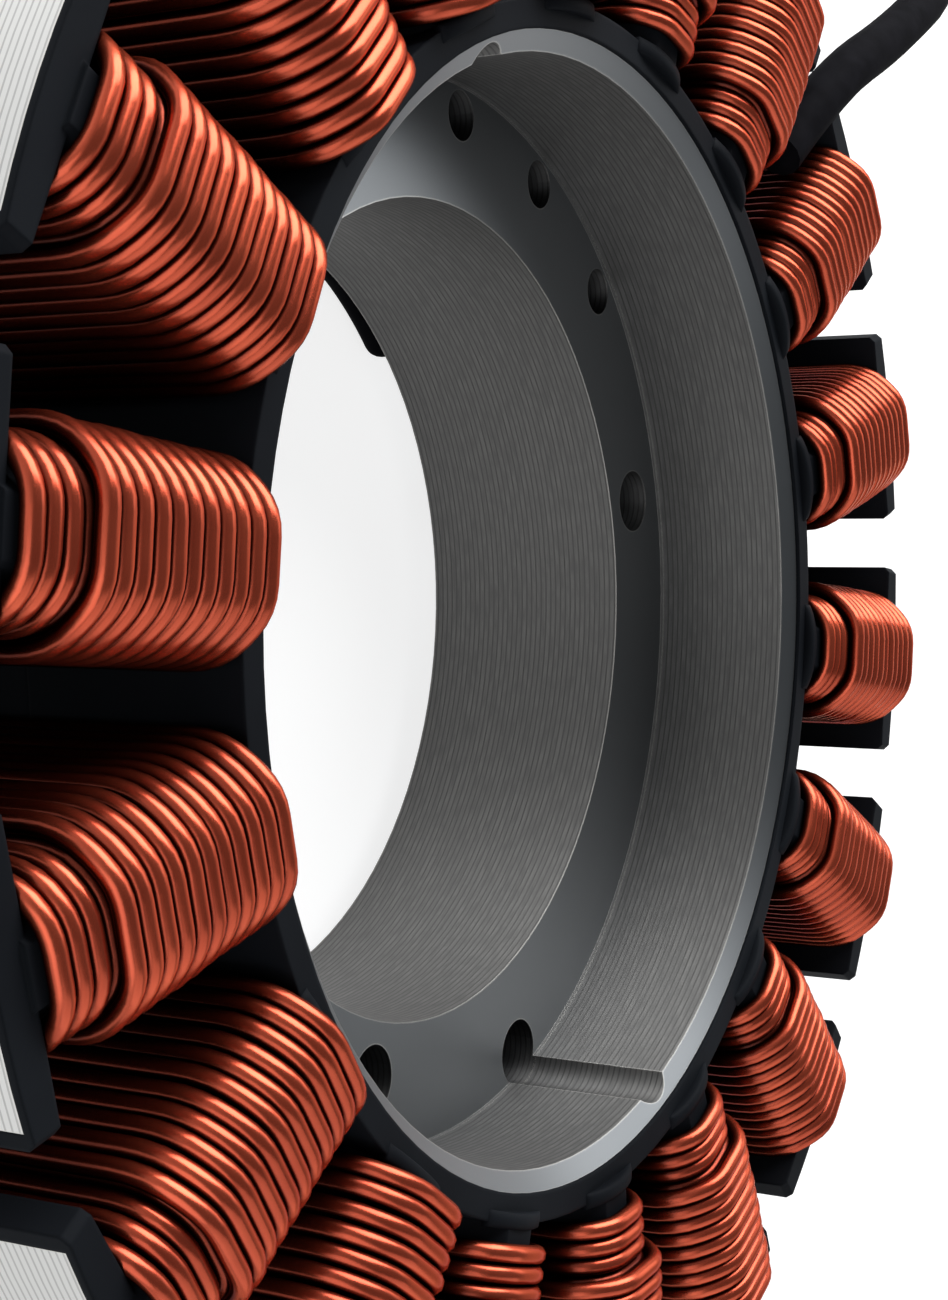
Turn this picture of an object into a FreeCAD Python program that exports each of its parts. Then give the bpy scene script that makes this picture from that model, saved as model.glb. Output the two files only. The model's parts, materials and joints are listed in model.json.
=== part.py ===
import FreeCAD, Part
import math
import os

# Wound stator of an outer-rotor alternator, lying flat on its rear end-turns.
# Millimetres. The bore is the Z axis, the front face looks up, the floor is Z = 0.
# Pole 2 lies on +X, and the poles count clockwise as seen from the front.

# Core: two profiles of lamination, stacked
POLE_COUNT = 18
BORE_RADIUS = 32.0
COUNTERBORE_RADIUS = 41.5
REAR_STACK_LENGTH = 19.0
FRONT_STACK_LENGTH = 13.0
SHELF_CUT_DEPTH = 0.3
FRONT_CHAMFER_RADIAL = 1.5
FRONT_CHAMFER_AXIAL = 0.85
YOKE_WALL = 2.9
TOOTH_HALF_WIDTH = 2.2
SHOE_OUTER_RADIUS = 69.0
SHOE_THICKNESS = 1.8
SHOE_HALF_WIDTH = 8.1

# Holes through the shelf of the core
MOUNT_HOLE_DIAMETER = 5.5
MOUNT_HOLE_CIRCLE = 73.0
MOUNT_HOLE_COUNT = 3
SMALL_HOLE_DIAMETER = 4.0
SMALL_HOLE_TO_WALL = 0.2
SMALL_HOLE_ANGLES = (30.0, 50.0, 70.0)
DOWEL_HOLE_DIAMETER = 5.5
DOWEL_GROOVE_DEPTH = 1.05
DOWEL_HOLE_ANGLES = (-85.0, 95.0)

# Moulded insulators, one from each side, that meet at half the height of the core
LINER_THICKNESS = 2.2
COLLAR_INNER_RADIUS = COUNTERBORE_RADIUS + FRONT_CHAMFER_RADIAL
COLLAR_WALL = 0.75
COLLAR_THICKNESS = 0.35
TOOTH_COVER_THICKNESS = 0.95
TOOTH_COVER_BEVEL_WIDTH = 2.62
TOOTH_COVER_BEVEL_DROP = 2.46
FLANGE_THICKNESS = 0.9
FLANGE_LIP = 1.1
FLANGE_CAP_THICKNESS = 0.55
FLANGE_CORNER = 0.5

# Winding: a full layer under a shorter outer layer that stops a few turns early
WIRE_DIAMETER = 1.4
LAYER_STEP = 1.35
INNER_LAYER_TURNS = 14
OUTER_LAYER_TURNS = 11
COIL_END_CLEARANCE = 0.1
COLLAR_TO_COIL = 0.55
GROOVE_DEPTH = 0.4
# Poles whose outer layer lies against the collar, and leaves the turns at the shoe bare
POLES_WOUND_INWARD = (9, 10, 11, 12, 13, 14, 15, 16)

# Rear wiring: phase crossovers round the yoke, and the sleeve over the star joint
CROSSOVER_START_ANGLE = 50.0
CROSSOVER_SPAN_ANGLE = 300.0
INNER_CROSSOVER_START_ANGLE = 102.0
INNER_CROSSOVER_SPAN_ANGLE = 165.0
CROSSOVER_FACET_ANGLE = 10.0
CROSSOVER_SIDES = 4
STAR_SLEEVE_DIAMETER = 3.4
STAR_SLEEVE_RADIUS = 34.8
STAR_SLEEVE_START_ANGLE = 22.0
STAR_SLEEVE_SPAN_ANGLE = 36.0
STAR_SLEEVE_FACET_ANGLE = 6.0
STAR_SLEEVE_SIDES = 10

# Lead: a black sleeve that leaves between poles 18 and 1, then a coil and a connector
LEAD_DIAMETER = 4.6
LEAD_ROUTE = (
    (50.7, 29.3, 33.6),
    (61.0, 35.0, 34.9),
    (80.0, 37.5, 34.8),
    (107.0, 43.2, 32.4),
    (123.0, 68.0, 14.0),
)
LEAD_COIL_CENTRE = (100.0, 114.5)
LEAD_COIL_RADIUS = 25.0
LEAD_COIL_LEVELS = 3
LEAD_COIL_EXIT_ANGLE = 126.0
LEAD_COIL_SKIN = 0.2
LEAD_ENTRY_STUB = 14.0
LEAD_EXIT_STUB = 24.0
LEAD_BEND_SHARE = 0.45

# Connector at the end of the lead: a small housing with three blade terminals
CONNECTOR_LENGTH = 24.0
CONNECTOR_WIDTH = 18.0
CONNECTOR_HEIGHT = 9.0
CONNECTOR_EDGE = 1.0
CONNECTOR_NECK_LENGTH = 6.0
CONNECTOR_NECK_WIDTH = 11.0
CONNECTOR_NECK_HEIGHT = 7.5
TERMINAL_COUNT = 3
TERMINAL_PITCH = 5.4
TERMINAL_WIDTH = 3.2
TERMINAL_THICKNESS = 0.8
TERMINAL_LENGTH = 9.0

# Places that follow from the sizes above
POLE_PITCH = 360.0 / POLE_COUNT
YOKE_RADIUS = COUNTERBORE_RADIUS + YOKE_WALL
SMALL_HOLE_RADIUS = COUNTERBORE_RADIUS - SMALL_HOLE_TO_WALL - SMALL_HOLE_DIAMETER / 2.0
DOWEL_HOLE_RADIUS = COUNTERBORE_RADIUS + DOWEL_GROOVE_DEPTH - DOWEL_HOLE_DIAMETER / 2.0
TOOTH_LINED_HALF_WIDTH = TOOTH_HALF_WIDTH + LINER_THICKNESS
COLLAR_RADIUS = YOKE_RADIUS + COLLAR_WALL
COIL_INNER_RADIUS = COLLAR_RADIUS + COLLAR_TO_COIL
SHOE_INNER_RADIUS = SHOE_OUTER_RADIUS - SHOE_THICKNESS
FLANGE_INNER_RADIUS = SHOE_INNER_RADIUS - FLANGE_THICKNESS
FLANGE_HALF_WIDTH = SHOE_HALF_WIDTH + FLANGE_LIP
COIL_OUTER_RADIUS = FLANGE_INNER_RADIUS - COIL_END_CLEARANCE
TURN_PITCH = (COIL_OUTER_RADIUS - COIL_INNER_RADIUS - WIRE_DIAMETER) / (INNER_LAYER_TURNS - 1)
END_TURN_HEIGHT = TOOTH_COVER_THICKNESS + WIRE_DIAMETER + LAYER_STEP
STACK_BACK = END_TURN_HEIGHT
SHELF_HEIGHT = STACK_BACK + REAR_STACK_LENGTH
STACK_FRONT = SHELF_HEIGHT + FRONT_STACK_LENGTH
STACK_JOINT = SHELF_HEIGHT + SHELF_CUT_DEPTH
STACK_MIDDLE = (STACK_BACK + STACK_FRONT) / 2.0
CUT_MARGIN = 1.0

UP = FreeCAD.Vector(0, 0, 1)


def cylinder(radius, bottom, top, x=0.0, y=0.0):
    return Part.makeCylinder(radius, top - bottom, FreeCAD.Vector(x, y, bottom), UP)


def ring(inner, outer, bottom, top):
    return cylinder(outer, bottom, top).cut(cylinder(inner, bottom - CUT_MARGIN, top + CUT_MARGIN))


def block(x_low, x_high, half_width, bottom, top):
    corner = FreeCAD.Vector(x_low, -half_width, bottom)
    return Part.makeBox(x_high - x_low, 2.0 * half_width, top - bottom, corner)


def turned(shape, angle):
    copy = shape.copy()
    copy.rotate(FreeCAD.Vector(0, 0, 0), UP, angle)
    return copy


def pole_angle(pole):
    return (2 - pole) * POLE_PITCH


def at_every_pole(shape):
    return [turned(shape, index * POLE_PITCH) for index in range(POLE_COUNT)]


def drill(shape, diameter, radius, angle):
    x = radius * math.cos(math.radians(angle))
    y = radius * math.sin(math.radians(angle))
    bit = cylinder(diameter / 2.0, STACK_BACK - CUT_MARGIN, STACK_FRONT + CUT_MARGIN, x, y)
    return shape.cut(bit)


# Core

def shoe_blank(x_low, half_width, bottom, top):
    """A pole shoe: flat towards the coil, round towards the rotor."""
    blank = block(x_low, SHOE_OUTER_RADIUS + CUT_MARGIN, half_width, bottom, top)
    return blank.common(cylinder(SHOE_OUTER_RADIUS, bottom, top))


def toothed_core(bore, bottom, top):
    tooth = block(YOKE_RADIUS - CUT_MARGIN, SHOE_INNER_RADIUS, TOOTH_HALF_WIDTH, bottom, top)
    shoe = shoe_blank(SHOE_INNER_RADIUS, SHOE_HALF_WIDTH, bottom, top)
    yoke = ring(bore, YOKE_RADIUS, bottom, top)
    poles = at_every_pole(tooth.fuse(shoe))
    return yoke.fuse(poles).removeSplitter()


def rear_laminations():
    """The stack with the narrow bore. The shelf is turned a little way into its top sheet."""
    core = toothed_core(BORE_RADIUS, STACK_BACK, STACK_JOINT)
    core = core.cut(cylinder(COUNTERBORE_RADIUS, SHELF_HEIGHT, STACK_JOINT + CUT_MARGIN))
    for index in range(MOUNT_HOLE_COUNT):
        angle = index * 360.0 / MOUNT_HOLE_COUNT
        core = drill(core, MOUNT_HOLE_DIAMETER, MOUNT_HOLE_CIRCLE / 2.0, angle)
    for angle in SMALL_HOLE_ANGLES:
        core = drill(core, SMALL_HOLE_DIAMETER, SMALL_HOLE_RADIUS, angle)
    for angle in DOWEL_HOLE_ANGLES:
        core = drill(core, DOWEL_HOLE_DIAMETER, DOWEL_HOLE_RADIUS, angle)
    return core


def front_laminations():
    core = toothed_core(COUNTERBORE_RADIUS, STACK_JOINT, STACK_FRONT)
    chamfer = Part.makeCone(
        COUNTERBORE_RADIUS,
        COLLAR_INNER_RADIUS,
        FRONT_CHAMFER_AXIAL,
        FreeCAD.Vector(0, 0, STACK_FRONT - FRONT_CHAMFER_AXIAL),
        UP,
    )
    core = core.cut(chamfer)
    for angle in DOWEL_HOLE_ANGLES:
        core = drill(core, DOWEL_HOLE_DIAMETER, DOWEL_HOLE_RADIUS, angle)
    return core


# Insulators

def cover_section(offset, low, high):
    """Corners of the section round a lined tooth, grown by an offset, between two faces.

    The section lies across the tooth: a width either side, and heights that start at
    the core's back and front faces. It has upright sides, bevelled corners and flat ends.
    """
    side = TOOTH_LINED_HALF_WIDTH + offset
    bevel = math.hypot(TOOTH_COVER_BEVEL_WIDTH, TOOTH_COVER_THICKNESS + TOOTH_COVER_BEVEL_DROP)
    slope = (TOOTH_COVER_THICKNESS + TOOTH_COVER_BEVEL_DROP) / TOOTH_COVER_BEVEL_WIDTH
    shift = offset * bevel / TOOTH_COVER_BEVEL_WIDTH
    side_rise = shift - offset * slope - TOOTH_COVER_BEVEL_DROP
    crest_rise = TOOTH_COVER_THICKNESS + offset
    crest = TOOTH_LINED_HALF_WIDTH - TOOTH_COVER_BEVEL_WIDTH + (shift - offset) / slope
    return [
        (side, low - side_rise),
        (side, high + side_rise),
        (crest, high + crest_rise),
        (-crest, high + crest_rise),
        (-side, high + side_rise),
        (-side, low - side_rise),
        (-crest, low - crest_rise),
        (crest, low - crest_rise),
    ]


def section_points(offset, x):
    return [FreeCAD.Vector(x, y, z) for y, z in cover_section(offset, STACK_BACK, STACK_FRONT)]


def section_prism(offset, x_low, x_high):
    points = section_points(offset, x_low)
    face = Part.Face(Part.makePolygon(points + points[:1]))
    return face.extrude(FreeCAD.Vector(x_high - x_low, 0, 0))


def pole_insulation():
    """The cover of one tooth with the flange on its shoe, over the full height."""
    cap_bottom = STACK_BACK - FLANGE_CAP_THICKNESS
    cap_top = STACK_FRONT + FLANGE_CAP_THICKNESS
    flange = shoe_blank(FLANGE_INNER_RADIUS, FLANGE_HALF_WIDTH, cap_bottom, cap_top)
    corners = [edge for edge in flange.Edges if is_flange_corner(edge)]
    flange = flange.makeChamfer(FLANGE_CORNER, corners)
    cover = section_prism(0.0, COLLAR_RADIUS - COLLAR_WALL, FLANGE_INNER_RADIUS + CUT_MARGIN / 2.0)
    return cover.fuse(flange).removeSplitter()


def is_flange_corner(edge):
    """True for the short radial edges at the four corners of the flange's outline."""
    ends = [vertex.Point for vertex in edge.Vertexes]
    radial = abs(ends[0].x - ends[-1].x) > FLANGE_THICKNESS
    level = abs(ends[0].z - ends[-1].z) < CUT_MARGIN / 2.0
    return radial and level


def insulator_blank():
    wall = ring(YOKE_RADIUS, COLLAR_RADIUS, STACK_BACK - COLLAR_THICKNESS, STACK_FRONT + COLLAR_THICKNESS)
    front_ring = ring(COLLAR_INNER_RADIUS, COLLAR_RADIUS, STACK_FRONT, STACK_FRONT + COLLAR_THICKNESS)
    back_ring = ring(COLLAR_INNER_RADIUS, COLLAR_RADIUS, STACK_BACK - COLLAR_THICKNESS, STACK_BACK)
    whole = wall.fuse([front_ring, back_ring] + at_every_pole(pole_insulation()))
    return whole.cut(toothed_core(BORE_RADIUS, STACK_BACK, STACK_FRONT)).removeSplitter()


def insulator_half(whole, bottom, top):
    return whole.common(cylinder(SHOE_OUTER_RADIUS + CUT_MARGIN, bottom, top)).removeSplitter()


# Coils

def strip(first, second):
    """Flat four-sided faces between two rings of corners."""
    faces = []
    for index in range(len(first)):
        after = (index + 1) % len(first)
        corners = [first[index], first[after], second[after], second[index], first[index]]
        faces.append(Part.Face(Part.makePolygon(corners)))
    return faces


def layer_profile(first_turn, turns, surface):
    """Radius and offset along a layer: a peak on each wire, a groove between wires."""
    profile = []
    for index in range(first_turn, first_turn + turns):
        centre = COIL_INNER_RADIUS + WIRE_DIAMETER / 2.0 + index * TURN_PITCH
        profile.append((centre - TURN_PITCH / 2.0, surface - GROOVE_DEPTH))
        profile.append((centre, surface))
    last = COIL_INNER_RADIUS + WIRE_DIAMETER / 2.0 + (first_turn + turns - 0.5) * TURN_PITCH
    profile.append((last, surface - GROOVE_DEPTH))
    return profile


def coil(wound_inward):
    """One coil on the +X tooth, as a chain of eight-sided rings from end to end and back."""
    lower = WIRE_DIAMETER
    upper = WIRE_DIAMETER + LAYER_STEP
    bare_turns = INNER_LAYER_TURNS - OUTER_LAYER_TURNS
    if wound_inward:
        profile = layer_profile(0, OUTER_LAYER_TURNS, upper)
        profile += layer_profile(OUTER_LAYER_TURNS, bare_turns, lower)
    else:
        profile = layer_profile(0, bare_turns, lower)
        profile += layer_profile(bare_turns, OUTER_LAYER_TURNS, upper)
    start = COIL_INNER_RADIUS
    end = COIL_OUTER_RADIUS
    profile[0] = (start, profile[0][1])
    profile[-1] = (end, profile[-1][1])
    chain = [(start, 0.0)] + profile + [(end, 0.0)]
    rings = [section_points(offset, x) for x, offset in chain]
    faces = []
    for index in range(len(rings)):
        faces += strip(rings[index], rings[(index + 1) % len(rings)])
    solid = Part.Solid(Part.makeShell(faces))
    if solid.Volume < 0:
        solid.reverse()
    return solid


# Rear wiring

def facet_rod(diameter, sides, path_radius, z, start_angle, span, facet_angle):
    """A wire or sleeve bent round the bore, with a section of a few sides on its corner."""
    reach = diameter / 2.0
    facets = round(span / facet_angle)
    rings = []
    for index in range(facets + 1):
        angle = math.radians(start_angle + index * span / facets)
        corners = []
        for side in range(sides):
            turn = 2.0 * math.pi * side / sides
            radius = path_radius + reach * math.cos(turn)
            height = z + reach * math.sin(turn)
            corners.append(FreeCAD.Vector(radius * math.cos(angle), radius * math.sin(angle), height))
        rings.append(corners)
    faces = []
    for first, second in zip(rings, rings[1:]):
        faces += strip(first, second)
    for end in (rings[0], rings[-1]):
        faces.append(Part.Face(Part.makePolygon(end + end[:1])))
    solid = Part.Solid(Part.makeShell(faces))
    if solid.Volume < 0:
        solid.reverse()
    return solid


def crossovers():
    """Two crossovers stacked under the collar, and one on the core between the dowel holes."""
    reach = WIRE_DIAMETER / 2.0
    collar_face = STACK_BACK - COLLAR_THICKNESS
    outer_path = YOKE_RADIUS - reach
    inner_path = COLLAR_INNER_RADIUS - reach
    next_start = CROSSOVER_START_ANGLE + POLE_PITCH
    places = (
        (outer_path, collar_face - reach, CROSSOVER_START_ANGLE, CROSSOVER_SPAN_ANGLE),
        (outer_path, collar_face - 3.0 * reach, next_start, CROSSOVER_SPAN_ANGLE),
        (inner_path, STACK_BACK - reach, INNER_CROSSOVER_START_ANGLE, INNER_CROSSOVER_SPAN_ANGLE),
    )
    return [facet_rod(WIRE_DIAMETER, CROSSOVER_SIDES, *place, CROSSOVER_FACET_ANGLE) for place in places]


def star_joint_sleeve():
    return facet_rod(
        STAR_SLEEVE_DIAMETER,
        STAR_SLEEVE_SIDES,
        STAR_SLEEVE_RADIUS,
        STACK_BACK - STAR_SLEEVE_DIAMETER / 2.0,
        STAR_SLEEVE_START_ANGLE,
        STAR_SLEEVE_SPAN_ANGLE,
        STAR_SLEEVE_FACET_ANGLE,
    )


# Lead

def tube(points, diameter, label):
    """A tube along straight runs joined by tangent arcs."""
    nodes = [FreeCAD.Vector(*point) for point in points]
    edges = []
    radii = []
    start = nodes[0]
    for before, corner, after in zip(nodes, nodes[1:], nodes[2:]):
        back = before - corner
        ahead = after - corner
        turn = math.pi - back.getAngle(ahead)
        reach = LEAD_BEND_SHARE * min(back.Length, ahead.Length)
        radii.append(reach / math.tan(turn / 2.0))
        back.normalize()
        ahead.normalize()
        arc_start = corner + back * reach
        arc_end = corner + ahead * reach
        middle = back + ahead
        middle.normalize()
        centre_distance = radii[-1] / math.cos(turn / 2.0)
        arc_middle = corner + middle * (centre_distance - radii[-1])
        edges.append(Part.LineSegment(start, arc_start).toShape())
        edges.append(Part.Arc(arc_start, arc_middle, arc_end).toShape())
        start = arc_end
    edges.append(Part.LineSegment(start, nodes[-1]).toShape())
    path = Part.Wire(edges)
    section = Part.Wire(Part.makeCircle(diameter / 2.0, nodes[0], nodes[1] - nodes[0]))
    solid = path.makePipeShell([section], True, False)
    expected = math.pi * diameter ** 2 / 4.0 * path.Length
    print(label, "length", round(path.Length, 1), "radii", [round(radius, 1) for radius in radii])
    print(label, "volume", round(solid.Volume, 1), "section times length", round(expected, 1))
    return solid


def coil_point(angle, level, ahead=0.0):
    """A point on the lead's coil, or ahead of it along its tangent."""
    turn = math.radians(angle)
    x = LEAD_COIL_CENTRE[0] + LEAD_COIL_RADIUS * math.cos(turn) - ahead * math.sin(turn)
    y = LEAD_COIL_CENTRE[1] + LEAD_COIL_RADIUS * math.sin(turn) + ahead * math.cos(turn)
    return FreeCAD.Vector(x, y, LEAD_COIL_SKIN + (level + 0.5) * LEAD_DIAMETER)


def lead_entry():
    return coil_point(0.0, LEAD_COIL_LEVELS - 1, -LEAD_ENTRY_STUB)


def lead_end():
    return coil_point(LEAD_COIL_EXIT_ANGLE, 0, LEAD_EXIT_STUB)


def lead_sleeve():
    return tube(LEAD_ROUTE + (tuple(lead_entry()),), LEAD_DIAMETER, "lead_sleeve")


def coil_turns(top_level, angle):
    """Turns of the lead that lie on each other up to a level, all round or part of the way."""
    reach = LEAD_DIAMETER / 2.0 + LEAD_COIL_SKIN
    height = top_level * LEAD_DIAMETER + 2.0 * LEAD_COIL_SKIN
    corner = FreeCAD.Vector(LEAD_COIL_RADIUS - reach, 0, 0)
    section = Part.makePlane(height, 2.0 * reach, corner, FreeCAD.Vector(0, 1, 0), FreeCAD.Vector(0, 0, 1))
    turns = section.revolve(FreeCAD.Vector(0, 0, 0), UP, angle)
    turns.translate(FreeCAD.Vector(LEAD_COIL_CENTRE[0], LEAD_COIL_CENTRE[1], 0))
    return turns


def lead_coil():
    """The rolled-up length: it comes in on top, and leaves on the floor after the last full turn."""
    reach = LEAD_DIAMETER / 2.0
    full_turns = coil_turns(LEAD_COIL_LEVELS - 1, 360.0)
    first_turn = coil_turns(LEAD_COIL_LEVELS, LEAD_COIL_EXIT_ANGLE)
    heading = coil_point(0.0, LEAD_COIL_LEVELS - 1) - lead_entry()
    entry_stub = Part.makeCylinder(reach, LEAD_ENTRY_STUB, lead_entry(), heading)
    leave = coil_point(LEAD_COIL_EXIT_ANGLE, 0)
    exit_stub = Part.makeCylinder(reach, LEAD_EXIT_STUB, leave, lead_end() - leave)
    return full_turns.fuse([first_turn, entry_stub, exit_stub]).removeSplitter()


def along_connector(shape):
    """Moves a shape from its own frame, lead end at the origin along +X, to the lead's end."""
    heading = lead_end() - coil_point(LEAD_COIL_EXIT_ANGLE, 0)
    shape.Placement = FreeCAD.Placement(lead_end(), FreeCAD.Rotation(FreeCAD.Vector(1, 0, 0), heading))
    return shape


def connector_housing():
    floor = -lead_end().z
    neck_corner = FreeCAD.Vector(0, -CONNECTOR_NECK_WIDTH / 2.0, floor)
    neck = Part.makeBox(CONNECTOR_NECK_LENGTH, CONNECTOR_NECK_WIDTH, CONNECTOR_NECK_HEIGHT, neck_corner)
    corner = FreeCAD.Vector(CONNECTOR_NECK_LENGTH, -CONNECTOR_WIDTH / 2.0, floor)
    body = Part.makeBox(CONNECTOR_LENGTH, CONNECTOR_WIDTH, CONNECTOR_HEIGHT, corner)
    body = body.makeChamfer(CONNECTOR_EDGE, [edge for edge in body.Edges if edge.Length == CONNECTOR_LENGTH])
    return along_connector(body.fuse(neck).removeSplitter())


def connector_terminals():
    start = CONNECTOR_NECK_LENGTH + CONNECTOR_LENGTH
    bottom = (CONNECTOR_HEIGHT - TERMINAL_THICKNESS) / 2.0 - lead_end().z
    blades = []
    for index in range(TERMINAL_COUNT):
        across = (index - (TERMINAL_COUNT - 1) / 2.0) * TERMINAL_PITCH
        corner = FreeCAD.Vector(start, across - TERMINAL_WIDTH / 2.0, bottom)
        blades.append(Part.makeBox(TERMINAL_LENGTH, TERMINAL_WIDTH, TERMINAL_THICKNESS, corner))
    return along_connector(Part.makeCompound(blades))


def build():
    whole_insulator = insulator_blank()
    outward_coil = coil(False)
    inward_coil = coil(True)
    pieces = {
        "front_laminations": front_laminations(),
        "rear_laminations": rear_laminations(),
        "front_insulator": insulator_half(whole_insulator, STACK_MIDDLE, STACK_FRONT + END_TURN_HEIGHT),
        "rear_insulator": insulator_half(whole_insulator, STACK_BACK - END_TURN_HEIGHT, STACK_MIDDLE),
        "star_joint_sleeve": star_joint_sleeve(),
        "lead_sleeve": lead_sleeve(),
        "lead_coil": lead_coil(),
        "connector_housing": connector_housing(),
        "connector_terminals": connector_terminals(),
    }
    for pole in range(1, POLE_COUNT + 1):
        pattern = inward_coil if pole in POLES_WOUND_INWARD else outward_coil
        pieces["coil_%02d" % pole] = turned(pattern, pole_angle(pole))
    for phase, wire in zip("abc", crossovers()):
        pieces["phase_crossover_" + phase] = wire
    os.makedirs("parts", exist_ok=True)
    for name, shape in pieces.items():
        shape.exportStep("parts/%s.step" % name)
        print(name, "solids", len(shape.Solids), "valid", shape.isValid(), "volume", round(shape.Volume, 1))


build()
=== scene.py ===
import json
import math
import random

import bpy
from mathutils import Matrix, Vector


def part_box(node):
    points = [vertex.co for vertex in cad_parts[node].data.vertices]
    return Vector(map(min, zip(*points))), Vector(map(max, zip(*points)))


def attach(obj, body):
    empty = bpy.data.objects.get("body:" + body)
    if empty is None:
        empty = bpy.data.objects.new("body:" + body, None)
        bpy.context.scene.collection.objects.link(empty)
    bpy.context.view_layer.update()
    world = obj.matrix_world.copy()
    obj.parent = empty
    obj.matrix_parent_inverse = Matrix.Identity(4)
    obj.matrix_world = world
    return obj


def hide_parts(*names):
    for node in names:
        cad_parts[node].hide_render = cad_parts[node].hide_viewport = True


# Wound stator, in metres. The bore is the Z axis, the front face looks up, the floor is Z = 0.

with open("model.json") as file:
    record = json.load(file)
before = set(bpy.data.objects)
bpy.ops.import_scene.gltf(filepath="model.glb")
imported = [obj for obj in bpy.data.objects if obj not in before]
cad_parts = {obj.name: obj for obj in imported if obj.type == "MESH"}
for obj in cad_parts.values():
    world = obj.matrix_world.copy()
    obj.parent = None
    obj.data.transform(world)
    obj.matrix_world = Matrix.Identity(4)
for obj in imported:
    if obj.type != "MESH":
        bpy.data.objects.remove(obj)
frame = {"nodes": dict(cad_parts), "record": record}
bpy.context.scene.view_settings.view_transform = "Standard"
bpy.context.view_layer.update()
MM = 0.001

# Camera, as solved from the photograph
CAMERA_PLACE = Vector((-147.67, 44.13, 113.29)) * MM
CAMERA_RIGHT = Vector((0.47733, -0.12373, 0.86997))
CAMERA_UP = Vector((0.29149, 0.95627, -0.02393))
CAMERA_LENS = 63.11
CAMERA_NEAR = 0.005
SENSOR_WIDTH = 36.0

# Core and insulation, in part read from the frame
POLE_COUNT = 18
POLE_PITCH = math.radians(20.0)
CORE_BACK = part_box("rear_laminations")[0].z
CORE_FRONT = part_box("front_laminations")[1].z
LINED_HALF_WIDTH = 4.2 * MM
COVER_HEIGHT = 0.95 * MM
COVER_BEVEL_WIDTH = 2.0 * MM
COVER_BEVEL_DROP = 1.0 * MM
COIL_START = 46.4 * MM
INWARD_COIL_START = 45.7 * MM
COIL_END = 66.2 * MM
COLLAR_INNER = 44.3 * MM
COLLAR_OUTER = 45.5 * MM
COLLAR_HEIGHT = 0.35 * MM
COLLAR_FACE = CORE_FRONT + COLLAR_HEIGHT
HUMP_HEIGHT = 0.85 * MM
HUMP_HALF_WIDTH = 3.9 * MM
HUMP_END_HEIGHT = 0.04 * MM
HUMP_FULLNESS = 0.7
HUMP_ROUNDING = 0.3 * MM
HUMP_FOOT = 0.5 * MM
HUMP_STEPS = 24
HUMP_EDGE_STEPS = 3

# Steel: cut sheets on the walls and smooth flat faces; ground outer shoes and worn edges, whose pale
# colour is partly a painted highlight
SHEET_THICKNESS = 0.5 * MM
SHEET_LINE_START = 0.36
WALL_TILT = 0.3
GROUND_RADIUS = 68.0 * MM
EDGE_RADIUS = 0.22 * MM
EDGE_START = 0.96
CUT_STEEL = ((0.142, 0.141, 0.139), (0.190, 0.188, 0.184))
SHEET_LINE_STEEL = (0.065, 0.065, 0.064)
FLAT_STEEL = (0.232, 0.245, 0.256)
# The next two are pale partly as ground and worn bare steel and partly as a painted highlight
GROUND_AND_HIGHLIT_STEEL = (0.64, 0.64, 0.63)
WORN_AND_HIGHLIT_STEEL = (0.62, 0.61, 0.58)

# Winding
WIRE_DIAMETER = 1.4 * MM
LAYER_STEP = 1.2 * MM
INNER_TURNS = 14
OUTER_TURNS = 11
POLES_WOUND_INWARD = (9, 10, 11, 12, 13, 14, 15, 16)
CREST_CORNER_CUT = 1.5 * MM
SIDE_CORNER_CUT = 2.4 * MM
YOKE_NARROWING = 0.35 * MM
CREST_REACH = 4.0 * MM
CORNER_STEPS = 5
SIDE_STEPS = 4
LONG_SIDE = 10.0 * MM
WIRE_SIDES = 10
TURN_UNEVENNESS = 0.12 * MM
LEAN_REACH = 8.0 * MM
ADVANCE_WIDTH = 10.0 * MM
LAST_TURN_CUT = 3 * CORNER_STEPS

# Lead: the sleeve's route from the part's source in millimetres, moved by about
# 1 mm to follow the photograph
LEAD_DIAMETER = 4.6 * MM
LEAD_ROUTE = (
    (51.2, 28.8, 33.8),
    (61.0, 34.3, 35.6),
    (80.0, 37.2, 35.8),
    (107.0, 42.3, 33.6),
    (123.0, 67.0, 14.5),
    (125.0, 100.5, 11.7),
)
LEAD_COIL_CENTRE = Vector((100.0, 114.5, 2.5)) * MM
LEAD_COIL_RADIUS = 25.0 * MM
LEAD_COIL_TURNS = 2.35
LEAD_COIL_LEVELS = 3
LEAD_COIL_DROP_START = 0.36
LEAD_COIL_DROP_SPAN = 0.15
LEAD_COIL_STEPS = 36
LEAD_EXIT_STUB = 24.0 * MM
LEAD_EXIT_SHARES = (0.33, 0.66, 1.0)

# Sleeve over the star joint
STAR_DIAMETER = 3.4 * MM
STAR_RADIUS = 34.8 * MM
STAR_START = math.radians(26.5)
STAR_SPAN = math.radians(31.5)
STAR_ROUNDING = 1.6 * MM
STAR_END_SHARE = 0.2
STAR_STEPS = 60
STAR_SIDES = 20

# Studio: the panel is a bright patch of the backdrop, which the steel reflects
FLOOR_REACH = 4.0
FLOOR_GREY = 0.4
FLOOR_GLOW = 0.78
SKY_COLOUR = (0.95, 0.97, 1.0, 1.0)
SKY_STRENGTH = 0.2
BACKDROP_LOW = (0.12, (1.0, 1.0, 1.0))
BACKDROP_HIGH = (0.78, (0.10, 0.105, 0.11))
PANEL_DIRECTION = (0.80, 0.12, 0.59)
PANEL_EDGE = 0.94
PANEL_CORE = 0.99
PANEL_STRENGTH = 5.0
LIGHT_TARGET = (0.0, 0.0, 0.03)


def link(obj):
    bpy.context.scene.collection.objects.link(obj)
    return obj


def mesh_object(name, vertices, faces, material, smooth=True):
    mesh = bpy.data.meshes.new(name)
    mesh.from_pydata(vertices, [], faces)
    mesh.update()
    for polygon in mesh.polygons:
        polygon.use_smooth = smooth
    mesh.materials.append(material)
    return link(bpy.data.objects.new(name, mesh))


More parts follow.
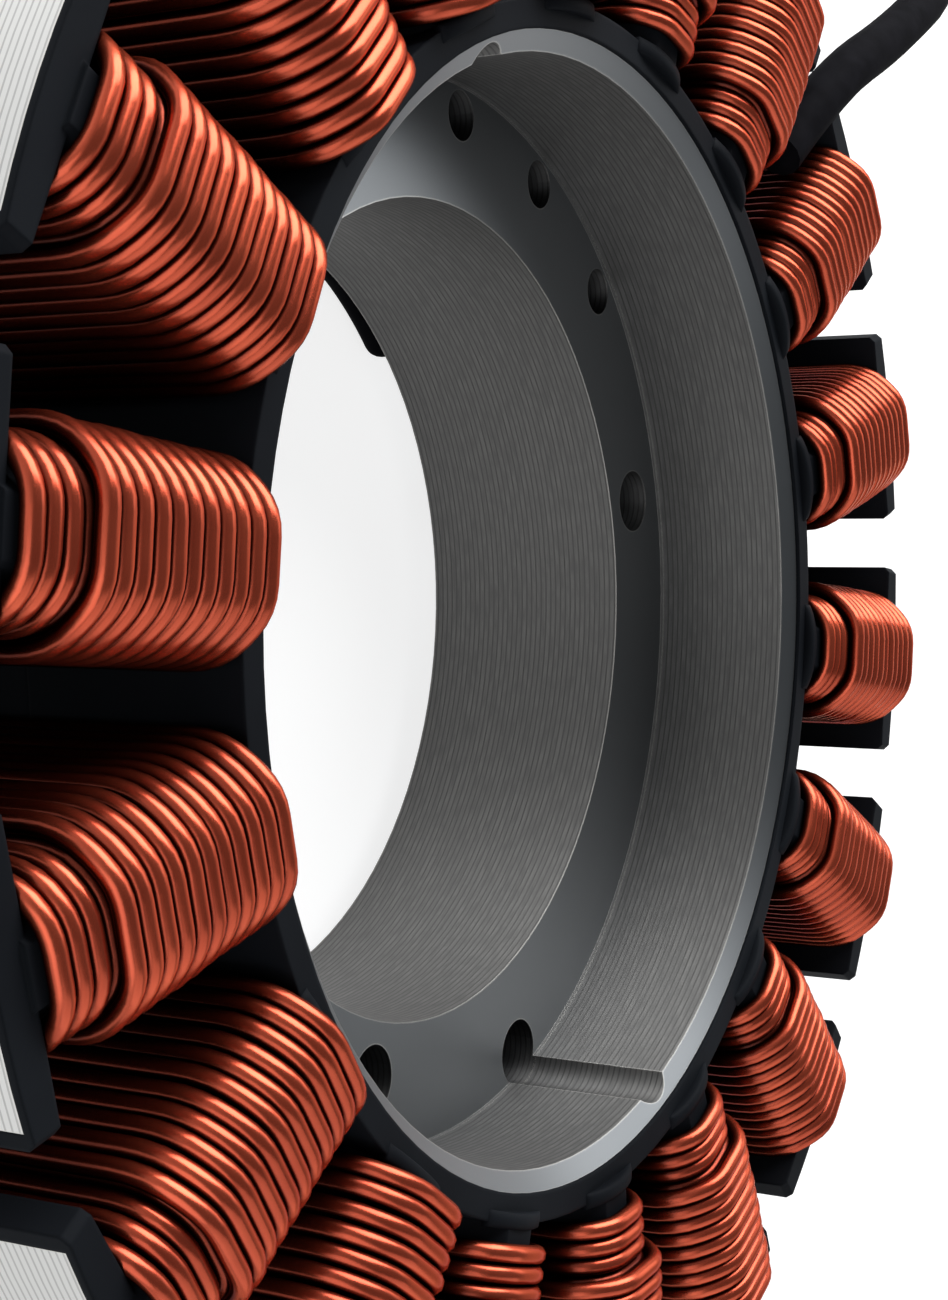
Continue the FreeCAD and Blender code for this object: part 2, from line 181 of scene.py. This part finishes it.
def pole_turn(pole):
    """Pole 2 lies along X, and the numbers run clockwise as seen from the front."""
    return Matrix.Rotation((2 - pole) * POLE_PITCH, 4, "Z")


# Camera

def add_camera():
    right = CAMERA_RIGHT.normalized()
    back = right.cross(CAMERA_UP).normalized()
    up = back.cross(right)
    data = bpy.data.cameras.new("camera")
    data.lens = CAMERA_LENS
    data.sensor_width = SENSOR_WIDTH
    data.clip_start = CAMERA_NEAR
    camera = link(bpy.data.objects.new("camera", data))
    turn = Matrix((right, up, back)).transposed()
    camera.matrix_world = Matrix.Translation(CAMERA_PLACE) @ turn.to_4x4()
    bpy.context.scene.camera = camera


# Node trees

class Nodes:
    """A node tree, with short calls to add and join nodes."""

    def __init__(self, tree):
        self.tree = tree

    def add(self, kind, **settings):
        node = self.tree.nodes.new(kind)
        for key, value in settings.items():
            setattr(node, key, value)
        return node

    def join(self, source, target):
        self.tree.links.new(source, target)

    def math(self, operation, first, second=None):
        node = self.add("ShaderNodeMath", operation=operation)
        for socket, value in zip(node.inputs, (first, second)):
            if value is None:
                continue
            if isinstance(value, (int, float)):
                socket.default_value = value
            else:
                self.join(value, socket)
        return node.outputs[0]

    def square(self, value):
        return self.math("MULTIPLY", value, value)

    def split(self, vector):
        node = self.add("ShaderNodeSeparateXYZ")
        self.join(vector, node.inputs[0])
        return node.outputs

    def mix(self, factor, first, second, blend="MIX"):
        node = self.add("ShaderNodeMix", data_type="RGBA", blend_type=blend)
        for key, value in (("Factor", factor), ("A", first), ("B", second)):
            if isinstance(value, float):
                node.inputs[key].default_value = value
            elif isinstance(value, tuple):
                node.inputs[key].default_value = (*value, 1.0)
            else:
                self.join(value, node.inputs[key])
        return node.outputs["Result"]

    def open_air(self, distance, samples):
        node = self.add("ShaderNodeAmbientOcclusion", samples=samples)
        node.inputs["Distance"].default_value = distance
        return node.outputs["AO"]

    def part_rays(self, light, picture, output):
        """One shader for the rays that carry light, and another for those that show what they hit."""
        path = self.add("ShaderNodeLightPath")
        shown = path.outputs["Is Camera Ray"]
        for kind in ("Is Glossy Ray", "Is Transmission Ray"):
            shown = self.math("MAXIMUM", shown, path.outputs[kind])
        mix = self.add("ShaderNodeMixShader")
        self.join(shown, mix.inputs[0])
        self.join(light.outputs[0], mix.inputs[1])
        self.join(picture.outputs[0], mix.inputs[2])
        self.join(mix.outputs[0], self.tree.nodes[output].inputs[0])

    def ramp(self, factor, *stops):
        node = self.add("ShaderNodeValToRGB")
        elements = node.color_ramp.elements
        while len(elements) < len(stops):
            elements.new(0.5)
        for element, (place, colour) in zip(elements, stops):
            element.position = place
            element.color = (*colour, 1.0)
        self.join(factor, node.inputs[0])
        return node.outputs[0]

    def noise(self, scale, detail=3.0, vector=None):
        node = self.add("ShaderNodeTexNoise")
        node.inputs["Scale"].default_value = scale
        node.inputs["Detail"].default_value = detail
        self.join(vector or self.place(), node.inputs["Vector"])
        return node.outputs["Fac"]

    def place(self):
        return self.add("ShaderNodeTexCoord").outputs["Object"]

    def bump(self, height, strength, distance, normal=None):
        node = self.add("ShaderNodeBump")
        node.inputs["Strength"].default_value = strength
        node.inputs["Distance"].default_value = distance
        self.join(height, node.inputs["Height"])
        if normal:
            self.join(normal, node.inputs["Normal"])
        return node.outputs["Normal"]

    def bevel(self, radius):
        node = self.add("ShaderNodeBevel", samples=6)
        node.inputs["Radius"].default_value = radius
        return node.outputs["Normal"]


class Surface(Nodes):
    """A new material's node tree, with its Principled shader."""

    def __init__(self, name):
        self.material = bpy.data.materials.new(name)
        self.material.use_nodes = True
        super().__init__(self.material.node_tree)
        self.shader = self.tree.nodes["Principled BSDF"]

    def set(self, **values):
        """Sets sockets of the shader, each to a constant or to another node's output."""
        for key, value in values.items():
            socket = self.shader.inputs[key.replace("_", " ")]
            if isinstance(value, (float, tuple)):
                socket.default_value = value
            else:
                self.join(value, socket)


# Materials

def enamelled_copper():
    """Red-brown enamel over copper, with painted shade between the turns and deep in the slots
    between coils.
    """
    look = Surface("enamelled_copper")
    patches = look.noise(180.0, detail=4.0)
    colour = look.ramp(patches, (0.3, (0.385, 0.060, 0.030)), (0.7, (0.515, 0.088, 0.043)))
    # Painted shade: the colour darkens to near black where other wire and coils lie close, between
    # turns and down the slots.
    gap = look.ramp(
        look.open_air(12.0 * MM, samples=8),
        (0.14, (0.008, 0.005, 0.005)),
        (0.46, (0.13, 0.09, 0.08)),
        (0.78, (1.0, 1.0, 1.0)),
    )
    look.set(
        Base_Color=look.mix(1.0, colour, gap, "MULTIPLY"),
        Metallic=0.8,
        Roughness=0.27,
        Coat_Weight=0.1,
        Coat_Roughness=0.15,
        Specular_Tint=(0.85, 0.35, 0.22, 1.0),
        Normal=look.bump(look.noise(900.0), 0.03, 0.05 * MM),
    )
    return look.material


def grained_plastic(name, dark, light, scale, stops, edge, roughness, **more):
    """Moulded plastic in two near tones, with a fine grain and softened edges."""
    look = Surface(name)
    look.set(
        Base_Color=look.ramp(look.noise(scale), (stops[0], dark), (stops[1], light)),
        Roughness=roughness,
        Normal=look.bump(look.noise(2500.0, detail=2.0), 0.2, 0.03 * MM, look.bevel(edge)),
        **more,
    )
    return look.material


def laminated_steel():
    """Steel with a line for every sheet on its walls, pale edges that are partly worn and partly a
    painted highlight, pale outer shoes that are partly ground and partly a painted highlight, and
    painted shade in its hollows.
    """
    look = Surface("laminated_steel")
    place = look.place()
    x, y, z = look.split(place)
    normal = look.add("ShaderNodeNewGeometry").outputs["Normal"]
    wall = look.math("LESS_THAN", look.math("ABSOLUTE", look.split(normal)["Z"]), WALL_TILT)
    sheet = look.math("FRACT", look.math("DIVIDE", z, SHEET_THICKNESS))
    ridge = look.math("ABSOLUTE", look.math("SUBTRACT", sheet, 0.5))
    line = look.math("MULTIPLY", look.math("GREATER_THAN", ridge, SHEET_LINE_START), wall)
    stretched = look.add("ShaderNodeMapping")
    stretched.inputs["Scale"].default_value = (500.0, 500.0, 2200.0)
    look.join(place, stretched.inputs["Vector"])
    speckle = look.noise(1.0, vector=stretched.outputs[0])

    # Cut sheets on the walls and smooth flat faces
    cut = look.ramp(speckle, (0.3, CUT_STEEL[0]), (0.7, CUT_STEEL[1]))
    colour = look.mix(wall, FLAT_STEEL, cut)
    darkness = look.math("MULTIPLY", line, look.math("MULTIPLY", speckle, 1.1))
    colour = look.mix(darkness, colour, SHEET_LINE_STEEL)

    # Ground outer faces of the shoes, with fainter lines; their pale colour is partly the ground
    # finish and partly a painted highlight
    across = look.math("SQRT", look.math("ADD", look.square(x), look.square(y)))
    outside = look.math("MULTIPLY", look.math("GREATER_THAN", across, GROUND_RADIUS), wall)
    kept = look.math("SUBTRACT", 1.0, look.math("MULTIPLY", line, 0.35))
    colour = look.mix(look.math("MULTIPLY", outside, kept), colour, GROUND_AND_HIGHLIT_STEEL)

    # Pale edges where the steel lies open, partly worn bare steel and partly a painted highlight, and
    # painted shade where it doesn't
    open_air = look.open_air(14.0 * MM, samples=6)
    edge = look.add("ShaderNodeVectorMath", operation="DOT_PRODUCT")
    look.join(look.bevel(EDGE_RADIUS), edge.inputs[0])
    look.join(normal, edge.inputs[1])
    rounding = look.math("LESS_THAN", edge.outputs["Value"], EDGE_START)
    wear_and_highlight = look.math("MULTIPLY", look.math("GREATER_THAN", open_air, 0.5), 0.8)
    colour = look.mix(look.math("MULTIPLY", rounding, wear_and_highlight), colour, WORN_AND_HIGHLIT_STEEL)
    shade = look.ramp(open_air, (0.25, (0.35, 0.36, 0.38)), (0.75, (1.0, 1.0, 1.0)))
    colour = look.mix(look.math("MAXIMUM", wall, 0.15), colour, shade, "MULTIPLY")

    height = look.math("ADD", ridge, look.math("MULTIPLY", speckle, 0.6))
    look.set(
        Base_Color=colour,
        Metallic=1.0,
        Roughness=look.math("ADD", look.math("MULTIPLY", wall, 0.26), 0.36),
        Anisotropic=0.6,
        Anisotropic_Rotation=0.25,
        Tangent=look.add("ShaderNodeTangent", direction_type="RADIAL", axis="Z").outputs[0],
        Normal=look.bump(look.math("MULTIPLY", height, wall), 0.3, 0.05 * MM),
    )
    return look.material


def black_sleeving():
    look = Surface("black_sleeving")
    look.set(
        Base_Color=look.ramp(
            look.noise(400.0), (0.3, (0.004, 0.004, 0.005)), (0.7, (0.008, 0.008, 0.010)),
        ),
        Roughness=0.7,
        Specular_IOR_Level=0.01,
        Normal=look.bump(look.noise(1500.0, detail=2.0), 0.15, 0.04 * MM),
    )
    return look.material


def terminal_brass():
    look = Surface("terminal_brass")
    look.set(
        Base_Color=look.ramp(look.noise(500.0), (0.3, (0.55, 0.42, 0.18)), (0.7, (0.68, 0.54, 0.27))),
        Metallic=1.0,
        Roughness=0.28,
    )
    return look.material


MATERIALS = {
    "lamination_steel": laminated_steel(),
    "enamelled_copper": enamelled_copper(),
    "moulded_insulator": grained_plastic(
        "moulded_plastic",
        dark=(0.006, 0.007, 0.009),
        light=(0.011, 0.013, 0.016),
        scale=60.0,
        stops=(0.35, 0.75),
        edge=0.35 * MM,
        roughness=0.6,
        Specular_IOR_Level=0.03,
    ),
    "black_sleeving": black_sleeving(),
    "connector_plastic": grained_plastic(
        "connector_plastic",
        dark=(0.012, 0.012, 0.013),
        light=(0.02, 0.02, 0.022),
        scale=80.0,
        stops=(0.35, 0.7),
        edge=0.5 * MM,
        roughness=0.5,
    ),
    "terminal_brass": terminal_brass(),
}


def dress_nodes():
    """Gives each CAD node the full material of its slot."""
    slots = {part["node"]: part["material_slot"] for part in frame["record"]["subparts"]}
    for name, node in frame["nodes"].items():
        for material_slot in node.material_slots:
            material_slot.material = MATERIALS[slots[name]]


# Lead

def lead_points():
    """The route down to the coil, the coil's turns from top to floor, and the straight end."""
    points = [Vector(point) * MM for point in LEAD_ROUTE]
    step = LEAD_COIL_TURNS * 2.0 * math.pi / LEAD_COIL_STEPS
    # A little outside the coil's radius, because the spline cuts inside its points
    radius = LEAD_COIL_RADIUS / math.cos(step / 2.0) ** 0.5
    for index in range(LEAD_COIL_STEPS + 1):
        angle = index * step
        turns, part = divmod(angle / (2.0 * math.pi), 1.0)
        late = (part - LEAD_COIL_DROP_START) / LEAD_COIL_DROP_SPAN
        drop = turns + min(1.0, max(0.0, late))
        side = Vector((math.cos(angle), math.sin(angle), 0.0)) * radius
        level = LEAD_COIL_LEVELS - 1 - drop
        points.append(LEAD_COIL_CENTRE + side + Vector((0.0, 0.0, level * LEAD_DIAMETER)))
    ahead = Vector((-math.sin(angle), math.cos(angle), 0.0))
    leave = LEAD_COIL_CENTRE + Vector((math.cos(angle), math.sin(angle), 0.0)) * LEAD_COIL_RADIUS
    points += [leave + ahead * LEAD_EXIT_STUB * share for share in LEAD_EXIT_SHARES]
    return points


def add_lead():
    curve = bpy.data.curves.new("lead", "CURVE")
    curve.dimensions = "3D"
    curve.bevel_depth = LEAD_DIAMETER / 2.0
    curve.bevel_resolution = 5
    curve.resolution_u = 6
    curve.use_fill_caps = True
    points = lead_points()
    spline = curve.splines.new("NURBS")
    spline.points.add(len(points) - 1)
    for target, point in zip(spline.points, points):
        target.co = (*point, 1.0)
    spline.order_u = 3
    spline.use_endpoint_u = True
    curve.materials.append(MATERIALS["black_sleeving"])
    lead = link(bpy.data.objects.new("lead", curve))
    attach(lead, "root")
    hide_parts("lead_sleeve", "lead_coil")


# Insulator

def hump_ring(across, rise):
    """A section of the collar's hump with rounded edges, from the inner side to the outer side."""
    reach = (COLLAR_OUTER - COLLAR_INNER) / 2.0
    middle = COLLAR_INNER + reach
    foot = COLLAR_FACE - HUMP_FOOT
    rounding = min(HUMP_ROUNDING, rise)
    points = [(middle - reach, foot)]
    for step in range(2 * HUMP_EDGE_STEPS + 1):
        if step == HUMP_EDGE_STEPS:
            points.append((middle, COLLAR_FACE + rise))
            continue
        angle = math.pi * (1.0 - step / (2.0 * HUMP_EDGE_STEPS))
        side = middle + (reach - rounding) * (1 if step > HUMP_EDGE_STEPS else -1)
        height = COLLAR_FACE + rise - rounding * (1.0 - math.sin(angle))
        points.append((side + rounding * math.cos(angle), height))
    points.append((middle + reach, foot))
    return [
        Vector((math.sqrt(radius * radius - across * across), across, height))
        for radius, height in points
    ]


def add_collar_humps(side):
    """The low arch that each tooth's cover raises on the collar, on the front or the rear face."""
    vertices = []
    faces = []
    for pole in range(1, POLE_COUNT + 1):
        turn = pole_turn(pole)
        first = len(vertices)
        for step in range(HUMP_STEPS + 1):
            share = 2.0 * step / HUMP_STEPS - 1.0
            rise = HUMP_END_HEIGHT + HUMP_HEIGHT * max(0.0, 1.0 - share * share) ** HUMP_FULLNESS
            for point in hump_ring(share * HUMP_HALF_WIDTH, rise):
                if side == "rear":
                    point.z = CORE_FRONT + CORE_BACK - point.z
                vertices.append(turn @ point)
        count = (len(vertices) - first) // (HUMP_STEPS + 1)
        for step in range(HUMP_STEPS):
            low = first + step * count
            high = low + count
            for index in range(count):
                after = (index + 1) % count
                faces.append((low + index, low + after, high + after, high + index))
        last = first + HUMP_STEPS * count
        faces.append(tuple(range(first + count - 1, first - 1, -1)))
        faces.append(tuple(range(last, last + count)))
    humps = mesh_object("collar_humps_" + side, vertices, faces, MATERIALS["moulded_insulator"])
    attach(humps, "root")


# Coils

def wire_section(offset, narrowing):
    """Corners (y, z) of a turn's middle line round the lined tooth, from the right side up."""
    slope = (COVER_HEIGHT + COVER_BEVEL_DROP) / COVER_BEVEL_WIDTH
    shift = offset * math.hypot(1.0, slope)
    rise = shift - offset * slope - COVER_BEVEL_DROP
    side = LINED_HALF_WIDTH + offset - narrowing
    crest = LINED_HALF_WIDTH - COVER_BEVEL_WIDTH - narrowing / 2.0 + (shift - offset) / slope
    top = COVER_HEIGHT + offset
    return [
        (side, CORE_FRONT + rise),
        (crest, CORE_FRONT + top),
        (-crest, CORE_FRONT + top),
        (-side, CORE_FRONT + rise),
        (-side, CORE_BACK - rise),
        (-crest, CORE_BACK - top),
        (crest, CORE_BACK - top),
        (side, CORE_BACK - rise),
    ]


def rounded(corners):
    """The closed outline of the corners with every corner rounded, as points."""
    points = []
    count = len(corners)
    for index, corner in enumerate(corners):
        here = Vector(corner)
        before = Vector(corners[index - 1])
        after = Vector(corners[(index + 1) % count])
        cut = CREST_CORNER_CUT if abs(here.x) < CREST_REACH else SIDE_CORNER_CUT
        start = here + (before - here).normalized() * min(cut, (before - here).length / 2.0)
        end = here + (after - here).normalized() * min(cut, (after - here).length / 2.0)
        for step in range(CORNER_STEPS):
            share = step / (CORNER_STEPS - 1)
            rest = 1 - share
            points.append(start * rest ** 2 + here * 2 * share * rest + end * share ** 2)
        gap = after - here
        if gap.length > LONG_SIDE:
            for step in range(1, SIDE_STEPS):
                points.append(here.lerp(after, step / SIDE_STEPS))
    return points


def turn_line(radius, offset, advance, chance):
    """One turn round the tooth: points that move on by one pitch over the rear crest."""
    lift = chance.uniform(0.0, TURN_UNEVENNESS)
    lean = chance.uniform(-TURN_UNEVENNESS, TURN_UNEVENNESS)
    narrowing = YOKE_NARROWING * (COIL_END - radius) / (COIL_END - COIL_START)
    line = []
    for y, z in rounded(wire_section(offset + lift, narrowing)):
        x = radius + lean * y / LEAN_REACH
        if z < CORE_BACK:
            x += advance * min(1.0, max(0.0, 0.5 + y / ADVANCE_WIDTH))
        line.append(Vector((x, y, z)))
    middle = (CORE_FRONT + CORE_BACK) / 2.0
    right = [index for index, point in enumerate(line) if point.y > 0]
    first = min(right, key=lambda index: abs(line[index].z - middle))
    return line[first:] + line[:first]


def tube(line, radii, sides):
    """Rings of vertices along an open line, joined by faces, with closed ends."""
    vertices = []
    end = len(line) - 1
    for index, (point, radius) in enumerate(zip(line, radii)):
        tangent = (line[min(index + 1, end)] - line[max(index - 1, 0)]).normalized()
        first = (Vector((1, 0, 0)) - tangent * tangent.x).normalized()
        second = tangent.cross(first)
        for side in range(sides):
            angle = 2.0 * math.pi * side / sides
            outward = first * math.cos(angle) + second * math.sin(angle)
            vertices.append(point + outward * radius)
    faces = []
    for index in range(end):
        low = index * sides
        high = low + sides
        for side in range(sides):
            after = (side + 1) % sides
            faces.append((low + side, low + after, high + after, high + side))
    last = end * sides
    faces.append(tuple(range(sides - 1, -1, -1)))
    faces.append(tuple(range(last, last + sides)))
    return vertices, faces


def wound_coil(pole):
    """The coil of one pole as two layers of round wire, turned into its place."""
    chance = random.Random(pole)
    inward = pole in POLES_WOUND_INWARD
    coil_start = INWARD_COIL_START if inward else COIL_START
    wire_radius = WIRE_DIAMETER / 2.0
    pitch = (COIL_END - coil_start - WIRE_DIAMETER) / (INNER_TURNS - 1)
    inner = [coil_start + wire_radius + index * pitch for index in range(INNER_TURNS)]
    outer = inner[:OUTER_TURNS] if inward else inner[INNER_TURNS - OUTER_TURNS:]
    turn = pole_turn(pole)
    vertices = []
    faces = []
    layers = ((inner, wire_radius, pitch), (outer, wire_radius + LAYER_STEP, -pitch))
    for radii, offset, advance in layers:
        line = []
        for radius in radii if advance > 0 else reversed(radii):
            line += turn_line(radius, offset, advance, chance)
        line = line[:-LAST_TURN_CUT]
        points, sides = tube(line, [wire_radius] * len(line), WIRE_SIDES)
        start = len(vertices)
        vertices += [turn @ point for point in points]
        faces += [tuple(start + index for index in face) for face in sides]
    coil = mesh_object("winding_%02d" % pole, vertices, faces, MATERIALS["enamelled_copper"])
    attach(coil, "root")
    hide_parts("coil_%02d" % pole)


def add_star_sleeve():
    """The sleeve over the star joint, with rounded ends, along the core's rear face."""
    line = []
    radii = []
    full = STAR_DIAMETER / 2.0
    for step in range(STAR_STEPS + 1):
        share = step / STAR_STEPS
        angle = STAR_START + STAR_SPAN * share
        centre = Vector((math.cos(angle), math.sin(angle), 0.0)) * STAR_RADIUS
        line.append(centre + Vector((0.0, 0.0, CORE_BACK - full)))
        from_end = min(share, 1.0 - share) * STAR_SPAN * STAR_RADIUS
        reach = min(1.0, from_end / STAR_ROUNDING)
        radii.append(full * max(STAR_END_SHARE, math.sqrt(1.0 - (1.0 - reach) ** 2)))
    vertices, faces = tube(line, radii, STAR_SIDES)
    sleeve = mesh_object("star_sleeve", vertices, faces, MATERIALS["black_sleeving"])
    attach(sleeve, "root")
    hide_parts("star_joint_sleeve")


# Stage

def add_floor():
    """A pale floor that glows only where it shows, so that it is white and keeps its shadow."""
    look = Surface("floor")
    look.set(Base_Color=(FLOOR_GREY, FLOOR_GREY, FLOOR_GREY, 1.0), Roughness=0.9)
    glow = look.add("ShaderNodeEmission")
    glow.inputs["Strength"].default_value = FLOOR_GLOW
    bright = look.add("ShaderNodeAddShader")
    look.join(look.shader.outputs[0], bright.inputs[0])
    look.join(glow.outputs[0], bright.inputs[1])
    look.part_rays(look.shader, bright, "Material Output")
    reach = FLOOR_REACH
    corners = [(-reach, -reach, 0), (reach, -reach, 0), (reach, reach, 0), (-reach, reach, 0)]
    mesh_object("floor", corners, [(0, 1, 2, 3)], look.material, smooth=False)


def add_world():
    """An even sky that lights, and a backdrop that shows: darker upward, with a bright panel."""
    world = bpy.data.worlds.new("studio")
    bpy.context.scene.world = world
    world.use_nodes = True
    nodes = Nodes(world.node_tree)
    sky = nodes.tree.nodes["Background"]
    sky.inputs["Color"].default_value = SKY_COLOUR
    sky.inputs["Strength"].default_value = SKY_STRENGTH
    direction = nodes.add("ShaderNodeTexCoord").outputs["Generated"]
    toward = nodes.add("ShaderNodeVectorMath", operation="DOT_PRODUCT")
    nodes.join(direction, toward.inputs[0])
    toward.inputs[1].default_value = PANEL_DIRECTION
    panel = nodes.add("ShaderNodeMapRange", interpolation_type="SMOOTHSTEP")
    panel.inputs["From Min"].default_value = PANEL_EDGE
    panel.inputs["From Max"].default_value = PANEL_CORE
    panel.inputs["To Min"].default_value = 1.0
    panel.inputs["To Max"].default_value = PANEL_STRENGTH
    nodes.join(toward.outputs["Value"], panel.inputs["Value"])
    backdrop = nodes.add("ShaderNodeBackground")
    height = nodes.split(direction)["Z"]
    nodes.join(nodes.ramp(height, BACKDROP_LOW, BACKDROP_HIGH), backdrop.inputs["Color"])
    nodes.join(panel.outputs["Result"], backdrop.inputs["Strength"])
    nodes.part_rays(sky, backdrop, "World Output")


def add_light(name, place, size, power):
    data = bpy.data.lights.new(name, "AREA")
    data.shape = "RECTANGLE"
    data.size, data.size_y = size
    data.energy = power
    light = link(bpy.data.objects.new(name, data))
    light.location = place
    aim = Vector(LIGHT_TARGET) - Vector(place)
    light.rotation_euler = aim.to_track_quat("-Z", "Y").to_euler()


def add_lights():
    add_light("key", (0.29, 0.52, 0.38), (0.65, 0.5), 8.0)
    add_light("fill", (-0.15, -0.55, 0.45), (0.8, 0.6), 1.4)
    add_light("left", (-0.6, -0.05, 0.25), (0.6, 0.4), 1.2)


add_camera()
dress_nodes()
add_lead()
for pole_number in range(1, POLE_COUNT + 1):
    wound_coil(pole_number)
add_star_sleeve()
for face in ("front", "rear"):
    add_collar_humps(face)
add_floor()
add_world()
add_lights()
